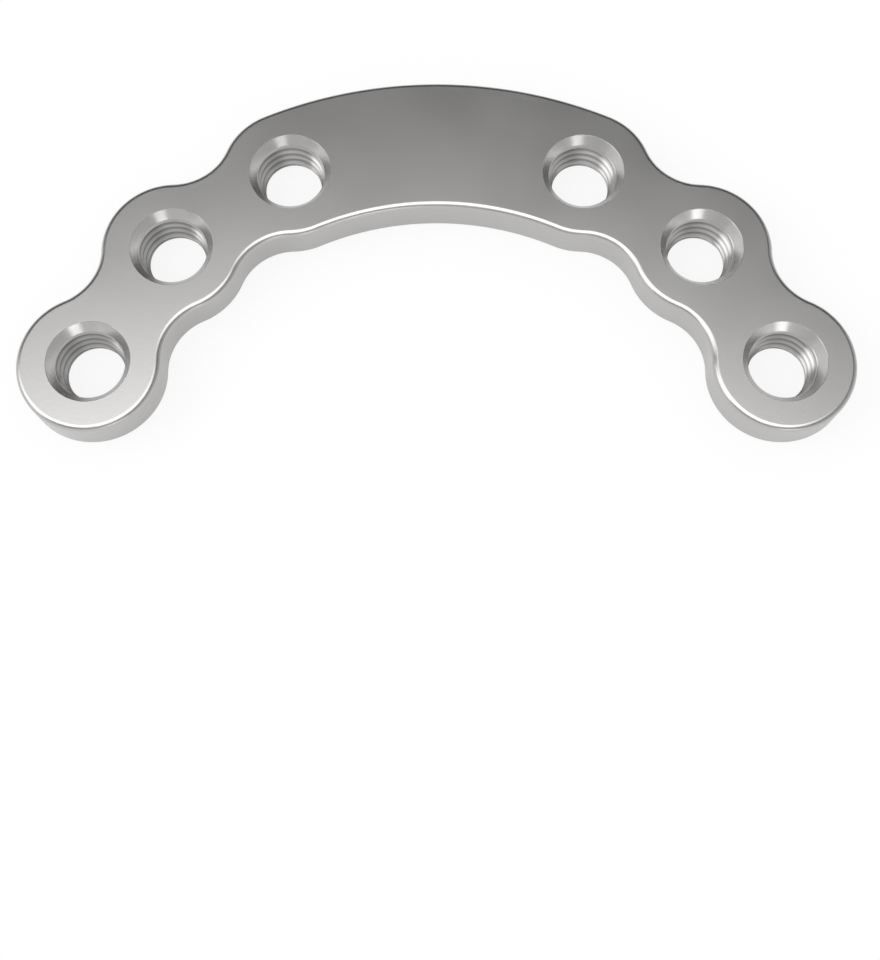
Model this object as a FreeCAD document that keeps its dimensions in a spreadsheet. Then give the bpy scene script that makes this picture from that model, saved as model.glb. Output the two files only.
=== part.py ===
import FreeCAD, Part
import os
from enum import IntEnum
from math import acos, cos, degrees, radians, sin

import Sketcher

# A curved bone plate: one flat piece of steel with six tapered screw holes on a circle.
# It lies flat, with its bone side at Z = 0 and the screw heads' side up.
# X runs along the plate and Y points to the top of the arch. The origin is under the middle of its box.
# While it is drawn, the middle of the hole circle is at zero, and the body's placement moves it.
# Lengths are in millimetres and angles in degrees.

DRIVING_SIZES = [
    ("hole_circle_radius", 19.0, "circle that the middles of all the holes sit on"),
    ("inner_hole_angle", 24.3, "from the top of the arch to the first hole on each side"),
    ("hole_step_angle", 22.77, "from one hole to the next on that circle"),
    ("holes_per_side", 3, "on each side of the top of the arch"),
    ("pad_radius", 3.72, "round pad about each hole, and half the width of the band"),
    ("neck_radius", 3.0, "hollow curve that joins two neighbouring pads"),
    ("thickness", 2.15, "of the plate"),
    ("top_edge_radius", 0.3, "rounding of the outline on the screw heads' side"),
    ("bone_edge_chamfer", 0.15, "broken edge of the outline on the bone side"),
    ("mouth_radius", 2.18, "wide end of the countersink, in the top face"),
    ("countersink_depth", 0.46, "from the top face down to the thread"),
    ("thread_top_radius", 1.82, "crests of the tapered thread at its upper end"),
    ("outlet_radius", 1.525, "plain round outlet that the screw's shank passes"),
    ("outlet_height", 0.35, "of the plain outlet, up from the bone side"),
]

UP = FreeCAD.Vector(0, 0, 1)
MIDDLE = FreeCAD.Vector(0, 0, 0)
HALF_TURN, FULL_TURN = 180.0, 360.0
TOP_OF_ARCH = 90.0
# points nearer than this are in one place
SAME_PLACE = 1e-6


class Line(IntEnum):
    """The axes that every sketch has."""

    X_AXIS = -1
    Y_AXIS = -2


class Spot(IntEnum):
    """A point of a drawn line or arc."""

    START = 1
    END = 2
    CENTRE = 3


class Side(IntEnum):
    """A side of the band: away from the middle of the hole circle, or towards it."""

    FAR = 1
    NEAR = -1


ORIGIN = (Line.X_AXIS, Spot.START)


def make_sheet(doc):
    """Write the driving sizes into a spreadsheet, one named cell each."""
    sheet = doc.addObject("Spreadsheet::Sheet", "sizes")
    for row, (name, value, note) in enumerate(DRIVING_SIZES, start=1):
        sheet.set(f"A{row}", name)
        sheet.set(f"B{row}", str(value))
        sheet.set(f"C{row}", note)
        sheet.setAlias(f"B{row}", name)
    doc.recompute()
    return sheet


def origin_feature(body, role):
    """The body's own origin plane or axis of that role."""
    return next(f for f in body.Origin.OriginFeatures if f.Role == role)


def new_sketch(body, name, role):
    """An empty sketch on one of the body's origin planes."""
    sketch = body.newObject("Sketcher::SketchObject", name)
    sketch.AttachmentSupport = [(origin_feature(body, role), "")]
    sketch.MapMode = "FlatFace"
    return sketch


def tie(sketch, *rule):
    """Add one rule of geometry, such as a tangent, to a sketch."""
    return sketch.addConstraint(Sketcher.Constraint(*rule))


def dimension(sketch, name, size, *rule):
    """Add one named dimension to a sketch and bind it to the sheet's sizes."""
    sketch.renameConstraint(tie(sketch, *rule), name)
    sketch.setExpression(f"Constraints.{name}", size)


def polar(centre, radius, angle):
    """The point at this distance and angle, in degrees from +X, from the centre."""
    turn = radians(angle)
    return centre + FreeCAD.Vector(radius * cos(turn), radius * sin(turn), 0)


class OutlineSketch:
    """The right half of the plate's outline: arcs that run on into each other without a corner.

    The arcs are drawn clockwise from the top of the arch: out along the pads' far sides,
    round the last pad and back along their near sides.
    """

    def __init__(self, body, sheet):
        self.sketch = new_sketch(body, "half_outline", "XY_Plane")
        self.circle = sheet.hole_circle_radius
        self.pad = sheet.pad_radius
        self.neck = sheet.neck_radius
        self.holes = range(int(sheet.holes_per_side))
        self.first = sheet.inner_hole_angle
        self.step = sheet.hole_step_angle
        self.drawn = []
        half_pitch = self.circle * sin(radians(self.step / 2))
        # between the line of two holes and the line from a hole to the middle of a neck's curve
        self.lean = degrees(acos(half_pitch / (self.pad + self.neck)))

    def hole_centre(self, hole):
        """Middle of a hole, counted from the top of the arch."""
        return polar(MIDDLE, self.circle, TOP_OF_ARCH - self.first - hole * self.step)

    def towards_next(self, hole):
        """Direction from a hole to the next one out."""
        return -self.first - hole * self.step - self.step / 2

    def leaves(self, hole, side):
        """Direction from a hole to where its pad runs on into the neck towards the next hole."""
        return self.towards_next(hole) + side * self.lean

    def meets(self, hole, side):
        """Direction from a hole to where its pad runs on into what lies nearer the top of the arch."""
        if hole == self.holes[0]:
            return side * TOP_OF_ARCH - self.first
        return self.towards_next(hole - 1) + HALF_TURN - side * self.lean

    def add_arc(self, centre, radius, start, end, hollow=False):
        """Draw one arc, anticlockwise from start to end, and join it to the one before."""
        arc = Part.ArcOfCircle(Part.Circle(centre, UP, radius), radians(start), radians(end))
        index = self.sketch.addGeometry(arc, False)
        entry, leave = (Spot.START, Spot.END) if hollow else (Spot.END, Spot.START)
        if self.drawn:
            tie(self.sketch, "Tangent", *self.drawn[-1], index, entry)
        self.drawn.append((index, leave))
        return index

    def add_pad(self, hole, start, end):
        """Draw a stretch of one pad's edge."""
        return self.add_arc(self.hole_centre(hole), self.pad, start, end)

    def add_neck(self, hole, side):
        """Draw the hollow curve between a hole's pad and the next one's, on one side."""
        here, there = self.leaves(hole, side), self.meets(hole + 1, side)
        centre = polar(self.hole_centre(hole), self.pad + self.neck, here)
        ends = (here, there) if side == Side.FAR else (there, here)
        start, end = (angle + HALF_TURN for angle in ends)
        return self.add_arc(centre, self.neck, start, end, hollow=True)

    def add_band(self, side):
        """Draw one edge of the band between the first hole's pad and the top of the arch."""
        radius = self.circle + side * self.pad
        start = TOP_OF_ARCH - self.first
        band = self.add_arc(MIDDLE, radius, start, TOP_OF_ARCH, hollow=side == Side.NEAR)
        tie(self.sketch, "Coincident", band, Spot.CENTRE, *ORIGIN)
        return band

    def draw(self):
        """Draw the whole half outline and dimension it."""
        *inner_holes, last = self.holes
        pads, near_pads, necks = {}, {}, []
        outer = self.add_band(Side.FAR)
        for hole in inner_holes:
            pads[hole] = self.add_pad(hole, self.leaves(hole, Side.FAR), self.meets(hole, Side.FAR))
            necks.append(self.add_neck(hole, Side.FAR))
        pads[last] = self.add_pad(last, self.meets(last, Side.NEAR), self.meets(last, Side.FAR))
        for hole in reversed(inner_holes):
            necks.append(self.add_neck(hole, Side.NEAR))
            ends = self.meets(hole, Side.NEAR), self.leaves(hole, Side.NEAR)
            near_pads[hole] = self.add_pad(hole, *ends)
        inner = self.add_band(Side.NEAR)

        self.close_at_the_top(outer, inner)
        self.place_the_pads(pads, near_pads)
        self.size_the_arcs("pad_radius", self.pad, [*pads.values(), *near_pads.values()])
        self.size_the_arcs("neck_radius", self.neck, necks)
        return self.sketch

    def close_at_the_top(self, outer, inner):
        """Close the half outline with a straight line on the plate's middle."""
        ends = [polar(MIDDLE, self.circle + side * self.pad, TOP_OF_ARCH) for side in Side]
        line = self.sketch.addGeometry(Part.LineSegment(*ends), False)
        for spot, band in ((Spot.START, outer), (Spot.END, inner)):
            tie(self.sketch, "Coincident", line, spot, band, Spot.END)
            tie(self.sketch, "PointOnObject", line, spot, Line.Y_AXIS)

    def place_the_pads(self, pads, near_pads):
        """Put the middle of each pad on the hole circle."""
        for hole, pad in pads.items():
            where = self.hole_centre(hole)
            angle = f"(sizes.inner_hole_angle + {hole} * sizes.hole_step_angle)"
            for axis, wave, value in (("X", "sin", where.x), ("Y", "cos", where.y)):
                size = f"sizes.hole_circle_radius * {wave}{angle}"
                rule = (f"Distance{axis}", *ORIGIN, pad, Spot.CENTRE, value)
                dimension(self.sketch, f"pad_{hole + 1}_{axis.lower()}", size, *rule)
        for hole, pad in near_pads.items():
            tie(self.sketch, "Coincident", pad, Spot.CENTRE, pads[hole], Spot.CENTRE)

    def size_the_arcs(self, name, radius, arcs):
        """Give some arcs one radius."""
        for arc in arcs:
            if arc == arcs[0]:
                dimension(self.sketch, name, f"sizes.{name}", "Radius", arc, radius)
            else:
                tie(self.sketch, "Equal", arcs[0], arc)


def edges_at(shape, height):
    """Names of the edges at one height, without the one that lies on the plate's middle."""
    names = []
    for number, edge in enumerate(shape.Edges, start=1):
        box = edge.BoundBox
        level = max(abs(box.ZMin - height), abs(box.ZMax - height)) < SAME_PLACE
        if level and box.XMax > SAME_PLACE:
            names.append(f"Edge{number}")
    return names


def soften_edges(doc, body, kind, base, height, measure, size):
    """Round or break the outline's edges at one height, by the named size."""
    softened = body.newObject(f"PartDesign::{kind}", f"softened_{size}")
    softened.Base = (base, edges_at(base.Shape, height))
    softened.setExpression(measure, f"sizes.{size}")
    body.Tip = softened
    doc.recompute()
    return softened


def hole_section(body, sheet):
    """Half section of one hole, standing on the middle of the first hole."""
    sketch = new_sketch(body, "hole_section", "XZ_Plane")
    turn = "sizes.inner_hole_angle"
    sketch.setExpression("AttachmentOffset.Base.x", f"sizes.hole_circle_radius * sin({turn})")
    sketch.setExpression("AttachmentOffset.Base.z", f"-sizes.hole_circle_radius * cos({turn})")
    top = sheet.thickness
    points = [
        (0, 0),
        (sheet.outlet_radius, 0),
        (sheet.outlet_radius, sheet.outlet_height),
        (sheet.thread_top_radius, top - sheet.countersink_depth),
        (sheet.mouth_radius, top),
        (0, top),
    ]
    corners = [FreeCAD.Vector(x, y, 0) for x, y in points]
    sides = [Part.LineSegment(a, b) for a, b in zip(corners, corners[1:] + corners[:1])]
    floor, outlet, taper, sink, lid, axis = around = sketch.addGeometry(sides, False)
    for side, following in zip(around, around[1:] + around[:1]):
        tie(sketch, "Coincident", side, Spot.END, following, Spot.START)
    tie(sketch, "Coincident", floor, Spot.START, *ORIGIN)
    for side in (floor, lid):
        tie(sketch, "Horizontal", side)
    for side in (outlet, axis):
        tie(sketch, "Vertical", side)
    for size, direction, *ends in (
        ("outlet_radius", "X", floor, Spot.START, floor, Spot.END),
        ("outlet_height", "Y", outlet, Spot.START, outlet, Spot.END),
        ("thread_top_radius", "X", *ORIGIN, taper, Spot.END),
        ("countersink_depth", "Y", sink, Spot.START, sink, Spot.END),
        ("mouth_radius", "X", lid, Spot.END, lid, Spot.START),
        ("thickness", "Y", axis, Spot.END, axis, Spot.START),
    ):
        rule = (f"Distance{direction}", *ends, getattr(sheet, size))
        dimension(sketch, size, f"sizes.{size}", *rule)
    return sketch


def bone_plate(doc, sheet):
    """The whole plate as one body: its right half, mirrored."""
    body = doc.addObject("PartDesign::Body", "bone_plate")
    body.Label = "bone_plate"

    half = body.newObject("PartDesign::Pad", "half_plate")
    half.Profile = OutlineSketch(body, sheet).draw()
    half.setExpression("Length", "sizes.thickness")
    body.Tip = half
    doc.recompute()

    top = sheet.thickness
    rounded = soften_edges(doc, body, "Fillet", half, top, "Radius", "top_edge_radius")
    edged = soften_edges(doc, body, "Chamfer", rounded, 0, "Size", "bone_edge_chamfer")

    hole = body.newObject("PartDesign::Groove", "first_hole")
    hole.Profile = hole_section(body, sheet)
    hole.ReferenceAxis = (hole.Profile[0], ["V_Axis"])
    hole.Angle = FULL_TURN
    body.Tip = hole
    doc.recompute()
    if hole.Shape.Volume >= edged.Shape.Volume:
        raise RuntimeError("the first hole cut nothing")

    holes = body.newObject("PartDesign::PolarPattern", "holes_of_one_side")
    holes.Originals = [hole]
    holes.Axis = (origin_feature(body, "Z_Axis"), [""])
    holes.Reversed = True
    holes.Mode = "Spacing"
    holes.setExpression("Occurrences", "sizes.holes_per_side")
    holes.setExpression("Offset", "sizes.hole_step_angle")
    body.Tip = holes
    doc.recompute()

    plate = body.newObject("PartDesign::Mirrored", "both_halves")
    plate.TransformMode = "Whole shape"
    plate.MirrorPlane = (origin_feature(body, "YZ_Plane"), [""])
    body.Tip = plate
    end_angle = "sizes.inner_hole_angle + (sizes.holes_per_side - 1) * sizes.hole_step_angle"
    middle = f"-sizes.hole_circle_radius * (1 + cos({end_angle})) / 2"
    body.setExpression("Placement.Base.y", middle)
    doc.recompute()
    return body


def check(doc, body):
    """Stop if any object failed, or the plate isn't one sound solid."""
    for item in doc.Objects:
        if {"Invalid", "Error"} & set(item.State):
            raise RuntimeError(f"{item.Name} failed: {item.State}")
    shape = body.Shape
    if shape.isNull() or not shape.isValid() or len(shape.Solids) != 1:
        raise RuntimeError(f"{body.Label} isn't one sound solid")


def main():
    """Make the plate and write it out."""
    doc = FreeCAD.newDocument("bone_plate")
    sheet = make_sheet(doc)
    body = bone_plate(doc, sheet)
    check(doc, body)
    os.makedirs("parts", exist_ok=True)
    body.Shape.exportStep(os.path.join("parts", f"{body.Label}.step"))
    box = body.Shape.optimalBoundingBox(True, False)
    print(f"{body.Label}: {box.XLength:.3f} x {box.YLength:.3f} x {box.ZLength:.3f} mm,")
    print(f"volume {body.Shape.Volume:.2f} mm3, {len(body.Shape.Faces)} faces")


main()
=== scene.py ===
"""The looks of a curved steel bone plate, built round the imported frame.

The plate is one piece of satin steel. Its solid has smooth tapered screw holes, so the plate is modelled
again here at the same sizes, with a thread cut in each hole, and takes the solid's place.
Shapes are modelled at bench size, one unit to the millimetre, and shrunk to metres when they are done.
"""

import logging
from collections.abc import Callable, Iterator
from contextlib import contextmanager
from dataclasses import dataclass, field
from enum import IntEnum
from math import acos, ceil, cos, degrees, hypot, pi, radians, sin, tan

import bmesh
import bpy
from mathutils import Matrix, Vector


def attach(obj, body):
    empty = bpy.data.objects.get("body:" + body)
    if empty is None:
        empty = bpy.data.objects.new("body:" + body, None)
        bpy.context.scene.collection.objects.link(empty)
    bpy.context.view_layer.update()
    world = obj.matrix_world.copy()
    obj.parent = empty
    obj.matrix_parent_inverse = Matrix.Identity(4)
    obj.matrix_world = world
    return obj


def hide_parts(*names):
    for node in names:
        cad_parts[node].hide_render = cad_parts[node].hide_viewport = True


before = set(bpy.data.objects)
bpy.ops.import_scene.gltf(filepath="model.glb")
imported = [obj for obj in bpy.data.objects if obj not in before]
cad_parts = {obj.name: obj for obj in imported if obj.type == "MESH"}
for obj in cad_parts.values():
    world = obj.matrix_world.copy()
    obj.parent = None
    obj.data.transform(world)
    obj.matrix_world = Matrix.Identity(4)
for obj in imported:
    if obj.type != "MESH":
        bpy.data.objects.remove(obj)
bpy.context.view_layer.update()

LOG = logging.getLogger("bone_plate")
GROOVE_DEPTH = "groove_depth"
MM = 0.001

# Angles in degrees. The top of the arch lies along +Y.
HALF_TURN, FULL_TURN = 180.0, 360.0
TOP_OF_ARCH = 90.0

# Lengths at bench size: nearer than the first is the same place, and shorter than the second is left over
# from a cut.
SAME_PLACE = 1e-3
SLIVER = 2e-5

# A bevel of this profile is an arc of a circle.
ROUND_PROFILE = 0.5

# The tool that cuts the thread has a four-cornered section.
SECTION_CORNERS = 4


class Side(IntEnum):
    """A side of the plate's band: away from the middle of the hole circle, or towards it."""

    FAR = 1
    NEAR = -1


class Finish(IntEnum):
    """The finishes of the plate, by material slot."""

    SATIN = 0
    TURNED = 1
    TAPPED = 2


def take_up(piece: bpy.types.Object) -> None:
    """Select one piece alone and make it the active one."""
    bpy.ops.object.select_all(action="DESELECT")
    piece.select_set(True)
    bpy.context.view_layer.objects.active = piece


@contextmanager
def on_the_bench(piece: bpy.types.Object) -> Iterator[None]:
    """Open a piece in edit mode with nothing of it selected, and close it again.

    Args:
        piece: the mesh object to work on.
    """
    take_up(piece)
    bpy.ops.object.mode_set(mode="EDIT")
    bpy.ops.mesh.select_all(action="DESELECT")
    yield
    bpy.ops.object.mode_set(mode="OBJECT")


def pick_edges(piece: bpy.types.Object, test: Callable[[Vector], bool]) -> None:
    """Select the edges of an opened piece that lie wholly where a test holds.

    Args:
        piece: the mesh object, open in edit mode.
        test: says of a point whether it is wanted.
    """
    bpy.ops.mesh.select_mode(type="EDGE")
    mesh = bmesh.from_edit_mesh(piece.data)
    for edge in mesh.edges:
        edge.select = all(test(vert.co) for vert in edge.verts)
    mesh.select_flush_mode()
    bmesh.update_edit_mesh(piece.data)


def face_outwards(piece: bpy.types.Object) -> None:
    """Turn all faces of an opened piece outwards."""
    bpy.ops.mesh.select_all(action="SELECT")
    bpy.ops.mesh.normals_make_consistent(inside=False)


def use_modifier(piece: bpy.types.Object, kind: str, **settings: object) -> None:
    """Give a piece a modifier and apply it.

    Args:
        piece: the mesh object.
        kind: the modifier's type.
        **settings: the modifier's own settings.
    """
    take_up(piece)
    modifier = piece.modifiers.new(kind.lower(), kind)
    for name, value in settings.items():
        setattr(modifier, name, value)
    bpy.ops.object.modifier_apply(modifier=modifier.name)


def repeat_at(pattern: bpy.types.Object, places: list[Vector], name: str) -> bpy.types.Object:
    """Copy a pattern to several places, each copy with its own mesh, as one object.

    Args:
        pattern: the object to copy, which is used up.
        places: where each copy's origin goes.
        name: what the result is called.

    Returns:
        The joined copies.
    """
    copies = []
    for place in places:
        copy = bpy.data.objects.new(name, pattern.data.copy())
        copy.data.transform(Matrix.Translation(place))
        bpy.context.scene.collection.objects.link(copy)
        copies.append(copy)
    bpy.data.objects.remove(pattern)
    take_up(copies[0])
    for copy in copies:
        copy.select_set(True)
    bpy.ops.object.join()
    return bpy.context.object


def cut(piece: bpy.types.Object, tool: bpy.types.Object) -> None:
    """Cut a closed tool out of a closed piece, and put the tool away.

    Args:
        piece: what is cut. The slivers that the cut leaves along its edges are closed up.
        tool: the shape to take away.
    """
    use_modifier(piece, "BOOLEAN", operation="DIFFERENCE", solver="MANIFOLD", object=tool)
    bpy.data.objects.remove(tool)
    with on_the_bench(piece):
        bpy.ops.mesh.select_all(action="SELECT")
        bpy.ops.mesh.remove_doubles(threshold=SLIVER)


@dataclass(frozen=True)
class Steel:
    """A machined steel surface: its colour, its gloss and the fine grain that its finishing left.

    Attributes:
        name: what the material is called.
        colour: reflected colour, in linear light.
        roughness: of the gloss, where the cloudiness is at its middle.
        cloudiness: by how much the roughness drifts over the surface.
        cloud_mm: how wide such a drift is.
        grain_mm: how wide one grain of the finish is.
        grain_depth_mm: how deep the grain is.
        groove_shade: share of the colour taken away deep in a groove, as painted shade in the recess.
        shade_from: depth in a groove where the painted shade sets in, from 0 on a crest to 1 at a root.
        shade_full: depth where the painted shade is complete.
        grain_share: how much of the roughness's drift follows the grain. The clouds give the rest.
        noise_low: noise that gives the lowest roughness. Few places have less.
        noise_high: noise that gives the highest roughness. Few places have more.
        finer_layers: how many finer layers each noise has on top of its first.
    """

    name: str
    colour: tuple[float, float, float]
    roughness: float
    cloudiness: float
    cloud_mm: float
    grain_mm: float
    grain_depth_mm: float
    groove_shade: float = 0.0
    shade_from: float = 0.35
    shade_full: float = 0.6
    grain_share: float = 0.25
    noise_low: float = 0.3
    noise_high: float = 0.7
    finer_layers: float = 1.0

    def noise(
        self, nodes: bpy.types.Nodes, links: bpy.types.NodeLinks, width_mm: float
    ) -> bpy.types.NodeSocket:
        """Add a noise on object coordinates.

        Args:
            nodes: the material's nodes.
            links: the material's links.
            width_mm: how wide one blotch of the noise is.

        Returns:
            The socket that gives the noise, from 0 to 1.
        """
        place = nodes.new("ShaderNodeTexCoord")
        noise = nodes.new("ShaderNodeTexNoise")
        noise.inputs["Scale"].default_value = 1 / (width_mm * MM)
        noise.inputs["Detail"].default_value = self.finer_layers
        links.new(place.outputs["Object"], noise.inputs["Vector"])
        return noise.outputs["Fac"]

    def spread(
        self,
        nodes: bpy.types.Nodes,
        links: bpy.types.NodeLinks,
        source: bpy.types.NodeSocket,
        low: float,
        high: float,
    ) -> bpy.types.NodeSocket:
        """Map what a noise mostly gives onto a range.

        Args:
            nodes: the material's nodes.
            links: the material's links.
            source: the noise.
            low: what a low noise turns into.
            high: what a high noise turns into.

        Returns:
            The socket that gives the mapped value.
        """
        mapped = nodes.new("ShaderNodeMapRange")
        mapped.inputs["From Min"].default_value = self.noise_low
        mapped.inputs["From Max"].default_value = self.noise_high
        mapped.inputs["To Min"].default_value = low
        mapped.inputs["To Max"].default_value = high
        links.new(source, mapped.inputs["Value"])
        return mapped.outputs["Result"]

    def paint_groove_shade(
        self, nodes: bpy.types.Nodes, links: bpy.types.NodeLinks, shader: bpy.types.Node
    ) -> None:
        """Paint shade into the colour, darker with the depth in a groove.

        Args:
            nodes: the material's nodes.
            links: the material's links.
            shader: the node whose colour it is.
        """
        depth = nodes.new("ShaderNodeAttribute")
        depth.attribute_name = GROOVE_DEPTH
        fade = nodes.new("ShaderNodeMapRange")
        fade.interpolation_type = "SMOOTHSTEP"
        fade.inputs["From Min"].default_value = self.shade_from
        fade.inputs["From Max"].default_value = self.shade_full
        links.new(depth.outputs["Fac"], fade.inputs["Value"])
        # painted shade: the colour mixes towards a darker one deep in the grooves
        painted_shade = nodes.new("ShaderNodeMix")
        painted_shade.data_type = "RGBA"
        painted_shade.inputs["A"].default_value = (*self.colour, 1)
        painted_shade.inputs["B"].default_value = (*[part * (1 - self.groove_shade) for part in self.colour], 1)
        links.new(fade.outputs["Result"], painted_shade.inputs["Factor"])
        links.new(painted_shade.outputs["Result"], shader.inputs["Base Color"])

    def material(self) -> bpy.types.Material:
        """Make the material.

        Returns:
            A metal whose roughness drifts in clouds and whose surface has a fine grain.
        """
        material = bpy.data.materials.new(self.name)
        material.use_nodes = True
        nodes, links = material.node_tree.nodes, material.node_tree.links
        shader = next(node for node in nodes if node.type == "BSDF_PRINCIPLED")
        shader.inputs["Base Color"].default_value = (*self.colour, 1)
        shader.inputs["Metallic"].default_value = 1

        clouds = self.noise(nodes, links, self.cloud_mm)
        grain = self.noise(nodes, links, self.grain_mm)
        both = nodes.new("ShaderNodeMix")
        both.inputs["Factor"].default_value = self.grain_share
        links.new(clouds, both.inputs["A"])
        links.new(grain, both.inputs["B"])
        ends = self.roughness - self.cloudiness, self.roughness + self.cloudiness
        roughness = self.spread(nodes, links, both.outputs["Result"], *ends)
        links.new(roughness, shader.inputs["Roughness"])

        # painted shade deep in the grooves, where the finish has any
        if self.groove_shade:
            self.paint_groove_shade(nodes, links, shader)

        bump = nodes.new("ShaderNodeBump")
        bump.inputs["Distance"].default_value = self.grain_depth_mm * MM
        links.new(grain, bump.inputs["Height"])
        links.new(bump.outputs["Normal"], shader.inputs["Normal"])
        return material


@dataclass(frozen=True)
class Arc:
    """One arc of the plate's outline, run from its start to its end, with angles in degrees from +X.

    Attributes:
        centre: middle of the arc's circle.
        radius: of that circle.
        start: direction from the middle to where the arc begins.
        end: direction from the middle to where it ends.
        hollow: whether the arc bends inwards, which is anticlockwise.
    """

    centre: Vector
    radius: float
    start: float
    end: float
    hollow: bool = False

    def turn(self) -> float:
        """How far the arc turns, clockwise."""
        if self.hollow:
            return -((self.end - self.start) % FULL_TURN)
        return (self.start - self.end) % FULL_TURN

    def steps(self, chord: float) -> int:
        """How many straight steps of about this length follow the arc."""
        return ceil(self.radius * radians(abs(self.turn())) / chord)


@dataclass
class Outline:
    """The plate's outline: round pads on a circle, joined by hollow necks. Lengths are in millimetres.

    Attributes:
        hole_circle_radius: circle that the middles of all the holes sit on.
        inner_hole_angle: from the top of the arch to the first hole on each side.
        hole_step_angle: from one hole to the next.
        holes_per_side: on each side of the top of the arch.
        pad_radius: of the round pad about each hole, and half the width of the band.
        neck_radius: of the hollow curve between two pads.
        chord: length of one straight step along the outline.
    """

    hole_circle_radius: float = 19.0
    inner_hole_angle: float = 24.3
    hole_step_angle: float = 22.77
    holes_per_side: int = 3
    pad_radius: float = 3.72
    neck_radius: float = 3.0
    chord: float = 0.13

    def middle(self) -> Vector:
        """Middle of the hole circle, with the plate's box about the origin."""
        last = self.inner_hole_angle + (self.holes_per_side - 1) * self.hole_step_angle
        return Vector((0, -self.hole_circle_radius * (1 + cos(radians(last))) / 2, 0))

    def hole_centre(self, hole: int, mirrored: bool = False) -> Vector:
        """Middle of a hole.

        Args:
            hole: its number from the top of the arch, from 0.
            mirrored: whether it is on the left side.

        Returns:
            The hole's middle.
        """
        angle = radians(self.inner_hole_angle + hole * self.hole_step_angle)
        side = -1 if mirrored else 1
        reach = Vector((side * sin(angle), cos(angle), 0)) * self.hole_circle_radius
        return self.middle() + reach

    def hole_centres(self) -> list[Vector]:
        """Middles of all the holes."""
        holes = range(self.holes_per_side)
        return [self.hole_centre(hole, mirrored) for mirrored in (False, True) for hole in holes]

    def towards_next(self, hole: int) -> float:
        """Direction from a hole to the next one out."""
        return -self.inner_hole_angle - (hole + 0.5) * self.hole_step_angle

    def lean(self) -> float:
        """Angle between the line of two holes and the line from a hole to the middle of a neck's curve."""
        half_pitch = self.hole_circle_radius * sin(radians(self.hole_step_angle / 2))
        return degrees(acos(half_pitch / (self.pad_radius + self.neck_radius)))

    def leaves(self, hole: int, side: Side) -> float:
        """Direction from a hole to where its pad runs on into the neck towards the next hole."""
        return self.towards_next(hole) + side * self.lean()

    def meets(self, hole: int, side: Side) -> float:
        """Direction from a hole to where its pad runs on into what lies nearer the top of the arch."""
        if hole == 0:
            return side * TOP_OF_ARCH - self.inner_hole_angle
        return self.towards_next(hole - 1) + HALF_TURN - side * self.lean()

    def band(self, side: Side) -> Arc:
        """The edge of the band between the top of the arch and the first pad."""
        radius = self.hole_circle_radius + side * self.pad_radius
        pad = TOP_OF_ARCH - self.inner_hole_angle
        if side == Side.FAR:
            return Arc(self.middle(), radius, TOP_OF_ARCH, pad)
        return Arc(self.middle(), radius, pad, TOP_OF_ARCH, hollow=True)

    def neck(self, hole: int, side: Side) -> Arc:
        """The hollow curve between a hole's pad and the next one's, on one side."""
        here, there = self.leaves(hole, side), self.meets(hole + 1, side)
        turn = radians(here)
        reach = Vector((cos(turn), sin(turn), 0)) * (self.pad_radius + self.neck_radius)
        start, end = (here, there) if side == Side.FAR else (there, here)
        centre = self.hole_centre(hole) + reach
        return Arc(centre, self.neck_radius, start + HALF_TURN, end + HALF_TURN, hollow=True)

    def arcs(self) -> list[Arc]:
        """The arcs of the right half, clockwise from the top of the arch.

        Returns:
            The arcs, each starting where the one before ends.
        """
        last = self.holes_per_side - 1
        arcs = [self.band(Side.FAR)]
        for hole in range(last):
            start, end = self.meets(hole, Side.FAR), self.leaves(hole, Side.FAR)
            arcs.append(Arc(self.hole_centre(hole), self.pad_radius, start, end))
            arcs.append(self.neck(hole, Side.FAR))
        start, end = self.meets(last, Side.FAR), self.meets(last, Side.NEAR)
        arcs.append(Arc(self.hole_centre(last), self.pad_radius, start, end))
        for hole in reversed(range(last)):
            arcs.append(self.neck(hole, Side.NEAR))
            start, end = self.leaves(hole, Side.NEAR), self.meets(hole, Side.NEAR)
            arcs.append(Arc(self.hole_centre(hole), self.pad_radius, start, end))
        arcs.append(self.band(Side.NEAR))
        return arcs

    def draw(self) -> bpy.types.Object:
        """Draw the whole outline as a flat face.

        Returns:
            The face, at the height of the bone side.
        """
        bpy.ops.object.select_all(action="DESELECT")
        bpy.ops.mesh.primitive_plane_add(size=1)
        piece = bpy.context.object
        start = self.middle() + Vector((0, self.hole_circle_radius + self.pad_radius, 0))
        with on_the_bench(piece):
            bpy.ops.mesh.select_all(action="SELECT")
            bpy.ops.mesh.merge(type="CENTER")
            bpy.ops.transform.translate(value=start)
            for arc in self.arcs():
                bpy.ops.mesh.spin(
                    steps=arc.steps(self.chord), angle=radians(arc.turn()), center=arc.centre, axis=(0, 0, 1)
                )
            bpy.ops.mesh.select_all(action="SELECT")
            bpy.ops.mesh.duplicate()
            bpy.ops.transform.resize(value=(-1, 1, 1), center_override=(0, 0, 0))
            bpy.ops.mesh.select_all(action="SELECT")
            bpy.ops.mesh.remove_doubles(threshold=SAME_PLACE)
            bpy.ops.mesh.edge_face_add()
        return piece


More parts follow.
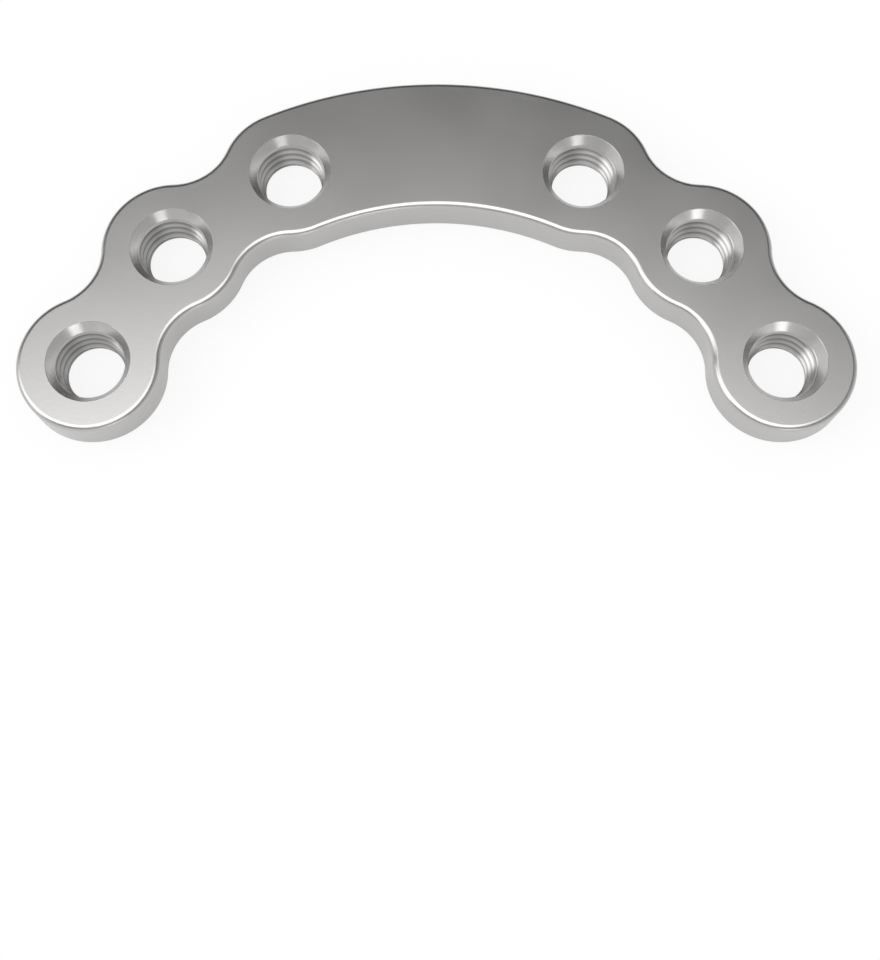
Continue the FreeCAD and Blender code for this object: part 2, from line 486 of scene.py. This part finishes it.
@dataclass
class ScrewHole:
    """One tapered, threaded and countersunk screw hole. Lengths are in millimetres.

    Attributes:
        plate_thickness: how deep the hole is.
        mouth_radius: wide end of the countersink, in the top face.
        countersink_depth: from the top face down to the thread.
        thread_top_radius: crests of the thread at its upper end.
        outlet_radius: of the plain outlet in the bone side.
        outlet_height: of that outlet.
        edge_break: how much the hole's sharp edges are broken.
        pitch: rise of the thread in one turn.
        thread_depth: from the crests to the roots.
        root_width: of the flat at the bottom of the groove.
        flank_angle: between a flank and a level plane, in degrees.
        overrun: how far a tool reaches past what it cuts.
        first_root: height of the lowest root, on the side of the hole that faces +Y.
        plain_top: height of the plain band between the end of the thread and the countersink.
        run_out_turns: over how much of a turn the thread fades at its upper end.
        full_from: height where the thread reaches its full depth. It begins one turn lower.
        around: how many straight steps go round the hole.
    """

    plate_thickness: float
    mouth_radius: float = 2.18
    countersink_depth: float = 0.46
    thread_top_radius: float = 1.82
    outlet_radius: float = 1.525
    outlet_height: float = 0.35
    edge_break: float = 0.01
    pitch: float = 0.4
    thread_depth: float = 0.18
    root_width: float = 0.03
    flank_angle: float = 44.0
    overrun: float = 0.3
    first_root: float = 0.085
    plain_top: float = 0.05
    run_out_turns: float = 0.5
    full_from: float = 0.2
    around: int = 128

    def thread_top(self) -> float:
        """Height of the upper end of the thread."""
        return self.plate_thickness - self.countersink_depth

    def thread_end(self) -> float:
        """Height where the thread has faded out, under the plain band."""
        return self.thread_top() - self.plain_top

    def crest_radius(self, height: float) -> float:
        """Radius of the thread's crests at a height, on the taper and straight on past its ends."""
        slope = (self.thread_top_radius - self.outlet_radius) / (self.thread_top() - self.outlet_height)
        return self.outlet_radius + slope * (height - self.outlet_height)

    def groove_depth(self, reach: float, height: float) -> float:
        """How deep a point lies in the thread.

        Args:
            reach: the point's distance from the hole's axis.
            height: its height.

        Returns:
            0 on a crest or outside the thread, 1 at a root.
        """
        if height > self.thread_top() - SAME_PLACE:
            return 0.0
        return min(max((reach - self.crest_radius(height)) / self.thread_depth, 0), 1)

    def section(self) -> list[tuple[float, float]]:
        """Radius and height of each corner of the hole, from below the plate to above it."""
        sink_slope = (self.mouth_radius - self.thread_top_radius) / self.countersink_depth
        broken = self.edge_break
        top = self.plate_thickness
        under_mouth = self.mouth_radius - sink_slope * broken
        mouth_slope = (self.mouth_radius + broken - under_mouth) / broken
        return [
            (self.outlet_radius + broken + self.overrun, -self.overrun),
            (self.outlet_radius, broken),
            (self.outlet_radius, self.outlet_height),
            (self.thread_top_radius, self.thread_top()),
            (under_mouth, top - broken),
            (self.mouth_radius + broken + mouth_slope * self.overrun, top + self.overrun),
        ]

    def drill(self) -> bpy.types.Object:
        """Make the solid that is cut out for the countersink, the taper and the outlet.

        Returns:
            The closed solid, with its axis on the origin.
        """
        (first_radius, first_height), *others = self.section()
        bpy.ops.object.select_all(action="DESELECT")
        bpy.ops.mesh.primitive_circle_add(
            vertices=self.around, radius=first_radius, fill_type="NGON", location=(0, 0, first_height)
        )
        piece = bpy.context.object
        bpy.ops.object.transform_apply(location=True)
        radius, height = first_radius, first_height
        with on_the_bench(piece):
            bpy.ops.mesh.select_all(action="SELECT")
            for wider, higher in others:
                rise = {"value": (0, 0, higher - height)}
                bpy.ops.mesh.extrude_region_move(TRANSFORM_OT_translate=rise)
                grow = wider / radius
                bpy.ops.transform.resize(value=(grow, grow, 1), center_override=(0, 0, higher))
                radius, height = wider, higher
            face_outwards(piece)
        return piece

    def tap(self) -> bpy.types.Object:
        """Make the coil that is cut out for the thread's groove.

        Returns:
            The closed coil, with its axis on the origin. It tapers with the hole and fades at its ends.
        """
        crest = self.thread_top_radius
        inner, outer = crest - self.overrun, crest + self.thread_depth
        root = self.root_width / 2
        wide = root + (outer - inner) * tan(radians(self.flank_angle))
        start = self.first_root - self.pitch
        turns = (self.thread_end() - start) / self.pitch
        steps = ceil(turns * self.around)
        bpy.ops.object.select_all(action="DESELECT")
        bpy.ops.mesh.primitive_plane_add(size=1, rotation=(pi / 2, 0, 0))
        piece = bpy.context.object
        bpy.ops.object.transform_apply(rotation=True)
        with on_the_bench(piece):
            bpy.ops.mesh.select_all(action="SELECT")
            bpy.ops.transform.resize(value=(outer - inner, 1, 2 * root))
            bpy.ops.transform.translate(value=((outer + inner) / 2, 0, 0))
            pick_edges(piece, lambda point: point.x < crest)
            bpy.ops.transform.resize(value=(1, 1, wide / root), center_override=(inner, 0, 0))
            bpy.ops.mesh.select_all(action="SELECT")
            bpy.ops.transform.rotate(value=-pi / 2, orient_axis="Z", center_override=(0, 0, 0))
            bpy.ops.transform.translate(value=(0, 0, start))
        use_modifier(
            piece,
            "SCREW",
            angle=radians(turns * FULL_TURN),
            screw_offset=turns * self.pitch,
            iterations=1,
            steps=steps,
            render_steps=steps,
            use_merge_vertices=False,
        )
        self.fit_the_taper(piece, start, turns * self.pitch / steps)
        with on_the_bench(piece):
            bpy.ops.mesh.select_all(action="SELECT")
            bpy.ops.mesh.fill_holes(sides=SECTION_CORNERS)
            face_outwards(piece)
        return piece

    def fit_the_taper(self, coil: bpy.types.Object, start: float, rise: float) -> None:
        """Draw a straight coil inwards to follow the tapered hole, and out of its wall at both ends.

        Args:
            coil: the straight coil, whose axis is Z and whose points run section by section.
            start: height of its first section.
            rise: from one section to the next.
        """
        for number, vert in enumerate(coil.data.vertices):
            root = start + number // SECTION_CORNERS * rise
            reach = hypot(vert.co.x, vert.co.y)
            running_out = 1 - (self.thread_end() - root) / (self.run_out_turns * self.pitch)
            leading_in = (self.full_from - root) / self.pitch
            fading = min(max(running_out, leading_in, 0), 1)
            inwards = self.thread_top_radius - self.crest_radius(vert.co.z)
            inwards += fading * self.thread_depth
            scale = (reach - inwards) / reach
            vert.co.x *= scale
            vert.co.y *= scale


@dataclass
class BonePlate:
    """The whole plate, one piece of steel. Lengths are in millimetres.

    Attributes:
        outline: the plate's outline and where its holes are.
        thickness: of the plate.
        top_edge_radius: rounding of the outline on the screw heads' side.
        bone_edge_chamfer: broken edge of the outline on the bone side.
        round_steps: how many flat steps make the rounding.
        smooth_angle: faces that meet at less than this, in degrees, are shaded as one.
        level_within: a face that tilts less than this, in degrees, counts as level.
        large_face_weight: how strongly large faces draw the shading beside them, 50 being as usual.
        satin: finish of the outside.
        turned: finish of the countersinks and the outlets.
        tapped: finish of the threads, with painted shade deep in their grooves.
    """

    outline: Outline = field(default_factory=Outline)
    thickness: float = 2.15
    top_edge_radius: float = 0.3
    bone_edge_chamfer: float = 0.15
    round_steps: int = 6
    smooth_angle: float = 24.0
    level_within: float = 1.0
    large_face_weight: int = 100
    satin: Steel = Steel(
        name="satin_steel",
        colour=(0.5, 0.495, 0.488),
        roughness=0.295,
        cloudiness=0.02,
        cloud_mm=4.0,
        grain_mm=0.15,
        grain_depth_mm=0.0016,
    )
    turned: Steel = Steel(
        name="turned_steel",
        colour=(0.54, 0.534, 0.526),
        roughness=0.24,
        cloudiness=0.03,
        cloud_mm=1.0,
        grain_mm=0.05,
        grain_depth_mm=0.0005,
    )
    tapped: Steel = Steel(
        name="tapped_steel",
        colour=(0.54, 0.534, 0.526),
        roughness=0.3,
        cloudiness=0.025,
        cloud_mm=0.5,
        grain_mm=0.05,
        grain_depth_mm=0.001,
        # painted shade deep in the thread's grooves
        groove_shade=0.4,
    )

    def blank(self) -> bpy.types.Object:
        """Make the plate without its holes, with its edges rounded and broken.

        Returns:
            The closed blank.
        """
        piece = self.outline.draw()
        with on_the_bench(piece):
            bpy.ops.mesh.select_all(action="SELECT")
            bpy.ops.mesh.extrude_region_move(TRANSFORM_OT_translate={"value": (0, 0, self.thickness)})
            face_outwards(piece)
            for height, size, steps in (
                (self.thickness, self.top_edge_radius, self.round_steps),
                (0.0, self.bone_edge_chamfer, 1),
            ):
                pick_edges(piece, lambda point: abs(point.z - height) < SAME_PLACE)
                bpy.ops.mesh.bevel(
                    offset=size, offset_type="OFFSET", segments=steps, profile=ROUND_PROFILE, affect="EDGES"
                )
        return piece

    def to_an_axis(self, point: Vector) -> float:
        """How far a point is from the axis of the nearest hole."""
        return min((point - centre).xy.length for centre in self.outline.hole_centres())

    def mark_grooves(self, piece: bpy.types.Object, hole: ScrewHole) -> None:
        """Note on each point of the plate how deep it lies in a thread, which sets where shade is painted.

        Args:
            piece: the plate.
            hole: one of its holes.
        """
        mouth = hole.mouth_radius + hole.edge_break
        depths = []
        for vert in piece.data.vertices:
            reach = self.to_an_axis(vert.co)
            inside = hole.edge_break < vert.co.z and reach < mouth
            depths.append(hole.groove_depth(reach, vert.co.z) if inside else 0.0)
        marks = piece.data.attributes.new(GROOVE_DEPTH, "FLOAT", "POINT")
        marks.data.foreach_set("value", depths)

    def dress(self, piece: bpy.types.Object, hole: ScrewHole) -> None:
        """Give the plate its finishes and its shading.

        Args:
            piece: the plate.
            hole: one of its holes.
        """
        piece.data.materials.clear()
        for steel in (self.satin, self.turned, self.tapped):
            piece.data.materials.append(steel.material())
        mouth = hole.mouth_radius + hole.edge_break
        for face in piece.data.polygons:
            height = face.center.z
            level = abs(face.normal.z) > cos(radians(self.level_within))
            on_a_face = min(height, self.thickness - height) < SAME_PLACE
            if self.to_an_axis(face.center) < mouth and not (level and on_a_face):
                tapped = hole.edge_break < height < hole.thread_top()
                face.material_index = Finish.TAPPED if tapped else Finish.TURNED
        self.mark_grooves(piece, hole)
        take_up(piece)
        bpy.ops.object.shade_smooth_by_angle(angle=radians(self.smooth_angle))
        weight = self.large_face_weight
        use_modifier(piece, "WEIGHTED_NORMAL", mode="FACE_AREA", weight=weight, keep_sharp=True)

    def build(self) -> bpy.types.Object:
        """Model the plate, finish it and put it in the frame.

        Returns:
            The plate, in metres, at the place of its solid.
        """
        piece = self.blank()
        hole = ScrewHole(plate_thickness=self.thickness)
        centres = self.outline.hole_centres()
        cut(piece, repeat_at(hole.drill(), centres, "drills"))
        cut(piece, repeat_at(hole.tap(), centres, "taps"))
        self.dress(piece, hole)
        piece.data.transform(Matrix.Scale(MM, 4))
        piece.name = piece.data.name = "threaded_plate"
        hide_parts("bone_plate")
        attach(piece, "root")
        return piece


@dataclass
class Panel:
    """A flat lamp or card of the studio, which faces the plate.

    Attributes:
        name: what it is called.
        azimuth: where it stands, in degrees round the plate: 0 is in front, 90 is to the right.
        elevation: how high it stands, in degrees above the plate.
        distance: from the plate, in metres.
        width: in metres.
        height: in metres.
        brightness: of its face, where 1 is white.
    """

    name: str
    azimuth: float
    elevation: float
    distance: float
    width: float
    height: float
    brightness: float

    def place(self) -> Vector:
        """Where the panel's middle is."""
        around, up = radians(self.azimuth), radians(self.elevation)
        return Vector((sin(around) * cos(up), -cos(around) * cos(up), sin(up))) * self.distance

    def face_the_plate(self, panel: bpy.types.Object) -> None:
        """Put an object at the panel's place, with its -Z side to the plate and unseen by the camera.

        Args:
            panel: the lamp or card.
        """
        panel.location = self.place()
        panel.rotation_euler = (-self.place()).to_track_quat("-Z", "Y").to_euler()
        panel.visible_camera = False

    def lamp(self) -> bpy.types.Object:
        """Make the panel as a soft lamp.

        Returns:
            The lamp. Pi times its area is the power at which its face shows as 1.
        """
        data = bpy.data.lights.new(self.name, "AREA")
        data.shape = "RECTANGLE"
        data.size = self.width
        data.size_y = self.height
        data.energy = self.brightness * pi * self.width * self.height
        lamp = bpy.data.objects.new(self.name, data)
        bpy.context.scene.collection.objects.link(lamp)
        self.face_the_plate(lamp)
        return lamp

    def card(self) -> bpy.types.Object:
        """Make the panel as a card that shows only in the metal.

        Returns:
            The card.
        """
        bpy.ops.object.select_all(action="DESELECT")
        bpy.ops.mesh.primitive_plane_add(size=1)
        card = bpy.context.object
        card.name = self.name
        card.scale = (self.width, self.height, 1)
        self.face_the_plate(card)
        card.visible_diffuse = False
        card.visible_shadow = False
        card.data.materials.append(glowing(self.name, self.brightness))
        return card


def glowing(name: str, brightness: float) -> bpy.types.Material:
    """Make a material of one even grey that needs no light.

    Args:
        name: what it is called.
        brightness: where 1 is white.

    Returns:
        The material.
    """
    material = bpy.data.materials.new(name)
    material.use_nodes = True
    nodes, links = material.node_tree.nodes, material.node_tree.links
    nodes.clear()
    glow = nodes.new("ShaderNodeEmission")
    glow.inputs["Strength"].default_value = brightness
    output = nodes.new("ShaderNodeOutputMaterial")
    links.new(glow.outputs["Emission"], output.inputs["Surface"])
    return material


def by_ray(
    nodes: bpy.types.Nodes, links: bpy.types.NodeLinks, in_camera: float, in_metal: float, as_light: float
) -> bpy.types.NodeSocket:
    """Give one value to what the camera sees, one to what metal or glass shows and one to what only lights.

    Args:
        nodes: the nodes of a world or of a stage material.
        links: its links.
        in_camera: the value for the camera.
        in_metal: the value for reflections and for what is seen through glass.
        as_light: the value for light that falls on matt things.

    Returns:
        The socket that gives the value.
    """
    path = nodes.new("ShaderNodeLightPath")
    cases = (("Is Camera Ray", in_camera), ("Is Glossy Ray", in_metal), ("Is Transmission Ray", in_metal))
    total = None
    for kind, value in cases:
        step = nodes.new("ShaderNodeMath")
        step.operation = "MULTIPLY_ADD"
        step.inputs[1].default_value = value - as_light
        step.inputs[2].default_value = as_light
        links.new(path.outputs[kind], step.inputs[0])
        if total:
            links.new(total, step.inputs[2])
        total = step.outputs["Value"]
    return total


@dataclass
class Ceiling:
    """A grey ceiling with a soft glow on it, which shows only in the metal. Lengths are in metres.

    Attributes:
        height: above the plate.
        width: of the square ceiling.
        grey: its brightness away from the glow, where 1 is white.
        glow_centre: where the glow's middle is.
        glow_reach: how far the glow reaches along each side.
        glow_peak: brightness that the glow would add at its middle.
        brightest: where the glow is cut off.
    """

    height: float = 0.6
    width: float = 6.0
    grey: float = 0.167
    glow_centre: tuple[float, float] = (-0.065, -0.14)
    glow_reach: tuple[float, float] = (0.51, 0.458)
    glow_peak: float = 30.0
    brightest: float = 2.5

    def material(self) -> bpy.types.Material:
        """Make the ceiling's material.

        Returns:
            A glow that fades out from its middle, on an even grey.
        """
        material = glowing("glowing_ceiling", self.grey)
        nodes, links = material.node_tree.nodes, material.node_tree.links
        glow = next(node for node in nodes if node.type == "EMISSION")
        place = nodes.new("ShaderNodeTexCoord")
        moved = nodes.new("ShaderNodeVectorMath")
        moved.operation = "SUBTRACT"
        moved.inputs[1].default_value = (*self.glow_centre, 0)
        links.new(place.outputs["Object"], moved.inputs[0])
        fitted = nodes.new("ShaderNodeVectorMath")
        fitted.operation = "DIVIDE"
        fitted.inputs[1].default_value = (*self.glow_reach, 1)
        links.new(moved.outputs["Vector"], fitted.inputs[0])
        fade = nodes.new("ShaderNodeTexGradient")
        fade.gradient_type = "QUADRATIC_SPHERE"
        links.new(fitted.outputs["Vector"], fade.inputs["Vector"])
        total = nodes.new("ShaderNodeMath")
        total.operation = "MULTIPLY_ADD"
        total.inputs[1].default_value = self.glow_peak
        total.inputs[2].default_value = self.grey
        links.new(fade.outputs["Fac"], total.inputs[0])
        capped = nodes.new("ShaderNodeMath")
        capped.operation = "MINIMUM"
        capped.inputs[1].default_value = self.brightest
        links.new(total.outputs["Value"], capped.inputs[0])
        links.new(capped.outputs["Value"], glow.inputs["Strength"])
        return material

    def put_up(self) -> bpy.types.Object:
        """Put up the ceiling.

        Returns:
            The ceiling.
        """
        bpy.ops.object.select_all(action="DESELECT")
        bpy.ops.mesh.primitive_plane_add(size=self.width, location=(0, 0, self.height))
        ceiling = bpy.context.object
        ceiling.name = "ceiling"
        ceiling.visible_camera = False
        ceiling.visible_diffuse = False
        ceiling.visible_shadow = False
        ceiling.data.materials.append(self.material())
        return ceiling


@dataclass
class Studio:
    """The pale floor, the white surroundings, the soft lamps and the grey cards.

    Attributes:
        fill: how bright the surroundings are as light, where 1 is white.
        floor_width: in metres.
        floor_grey: colour of the floor.
        floor_glow: share of the floor that shows white whatever falls on it, which pales the shadow.
        floor_glow_in_metal: the same share in reflections.
        floor_gap_mm: from the plate down to the floor.
        ceiling: the glowing ceiling.
        lamps: the soft lamps.
        cards: the grey cards that shade the metal.
    """

    fill: float = 0.9
    floor_width: float = 6.0
    floor_grey: float = 0.95
    floor_glow: float = 0.86
    floor_glow_in_metal: float = 0.45
    floor_gap_mm: float = 0.01
    ceiling: Ceiling = field(default_factory=Ceiling)
    lamps: tuple[Panel, ...] = (
        Panel("left_lamp", azimuth=-85, elevation=38, distance=0.55, width=0.4, height=0.4, brightness=2.0),
        Panel("front_strip", azimuth=17, elevation=11, distance=0.5, width=0.2, height=0.1, brightness=1.6),
    )
    cards: tuple[Panel, ...] = (
        Panel("back_card", azimuth=180, elevation=20, distance=0.9, width=2.4, height=0.75, brightness=0.08),
        Panel("right_card", azimuth=85, elevation=22, distance=0.9, width=1.6, height=0.85, brightness=0.6),
        Panel("left_card", azimuth=-56, elevation=15, distance=0.9, width=0.45, height=0.42, brightness=0.65),
        Panel(
            "front_low_card", azimuth=0, elevation=6, distance=0.9, width=1.6, height=0.36, brightness=0.85
        ),
        Panel(
            "front_high_card", azimuth=0, elevation=33, distance=0.9, width=1.6, height=0.5, brightness=0.5
        ),
    )

    def surround(self) -> bpy.types.World:
        """Make the surroundings.

        Returns:
            A world that is seen as white and lights as softly as the fill says.
        """
        world = bpy.data.worlds.new("pale_surroundings")
        world.use_nodes = True
        nodes, links = world.node_tree.nodes, world.node_tree.links
        background = next(node for node in nodes if node.type == "BACKGROUND")
        background.inputs["Color"].default_value = (1, 1, 1, 1)
        strength = by_ray(nodes, links, in_camera=1, in_metal=1, as_light=self.fill)
        links.new(strength, background.inputs["Strength"])
        bpy.context.scene.world = world
        return world

    def floor_material(self) -> bpy.types.Material:
        """Make the floor's material.

        Returns:
            A pale matt surface, part of which shows white whatever falls on it.
        """
        material = bpy.data.materials.new("pale_floor")
        material.use_nodes = True
        nodes, links = material.node_tree.nodes, material.node_tree.links
        nodes.clear()
        matt = nodes.new("ShaderNodeBsdfDiffuse")
        matt.inputs["Color"].default_value = (*[self.floor_grey] * 3, 1)
        glow = nodes.new("ShaderNodeEmission")
        share = by_ray(nodes, links, self.floor_glow, self.floor_glow_in_metal, as_light=0)
        mix = nodes.new("ShaderNodeMixShader")
        links.new(share, mix.inputs["Fac"])
        links.new(matt.outputs["BSDF"], mix.inputs[1])
        links.new(glow.outputs["Emission"], mix.inputs[2])
        output = nodes.new("ShaderNodeOutputMaterial")
        links.new(mix.outputs["Shader"], output.inputs["Surface"])
        return material

    def floor(self) -> bpy.types.Object:
        """Lay the floor.

        Returns:
            The floor, just under the plate.
        """
        bpy.ops.object.select_all(action="DESELECT")
        bpy.ops.mesh.primitive_plane_add(size=self.floor_width, location=(0, 0, -self.floor_gap_mm * MM))
        floor = bpy.context.object
        floor.name = "floor"
        floor.data.materials.append(self.floor_material())
        return floor

    def set_up(self) -> None:
        """Put up the surroundings, the floor, the ceiling, the lamps and the cards."""
        self.surround()
        self.floor()
        self.ceiling.put_up()
        for lamp in self.lamps:
            lamp.lamp()
        for card in self.cards:
            card.card()


@dataclass
class PhotoCamera:
    """The camera, as it stood for the photograph.

    Attributes:
        place_mm: where it is.
        tilt: how far it leans back from looking straight down, in degrees.
        focal_px: its focal length, in pixels of the photograph.
        long_side_px: the photograph's longer side.
        sensor_mm: the length that the longer side covers on the sensor.
        nearest: nearest thing it sees, in metres.
        farthest: farthest thing it sees, in metres.
    """

    place_mm: tuple[float, float, float] = (0.173, -30.083, 65.056)
    tilt: float = 15.585
    focal_px: float = 1311.4
    long_side_px: int = 960
    sensor_mm: float = 36.0
    nearest: float = 0.001
    farthest: float = 20.0

    def set_up(self) -> bpy.types.Object:
        """Make the camera and use it.

        Returns:
            The camera.
        """
        data = bpy.data.cameras.new("photo_camera")
        data.sensor_width = self.sensor_mm
        data.lens = self.focal_px * self.sensor_mm / self.long_side_px
        data.clip_start = self.nearest
        data.clip_end = self.farthest
        camera = bpy.data.objects.new("photo_camera", data)
        bpy.context.scene.collection.objects.link(camera)
        camera.location = Vector(self.place_mm) * MM
        camera.rotation_euler = (radians(self.tilt), 0, 0)
        bpy.context.scene.camera = camera
        return camera


def report(piece: bpy.types.Object) -> None:
    """Log what a piece came to."""
    triangles = sum(len(face.vertices) - 2 for face in piece.data.polygons)
    size = " x ".join(f"{side / MM:.2f}" for side in piece.dimensions)
    LOG.info("%s: %s mm, %d triangles", piece.name, size, triangles)


def main() -> None:
    """Build the plate and its studio."""
    logging.basicConfig(level=logging.INFO, format="%(name)s: %(message)s")
    bpy.context.scene.view_settings.view_transform = "Standard"
    PhotoCamera().set_up()
    report(BonePlate().build())
    Studio().set_up()


if __name__ == "__main__":
    main()
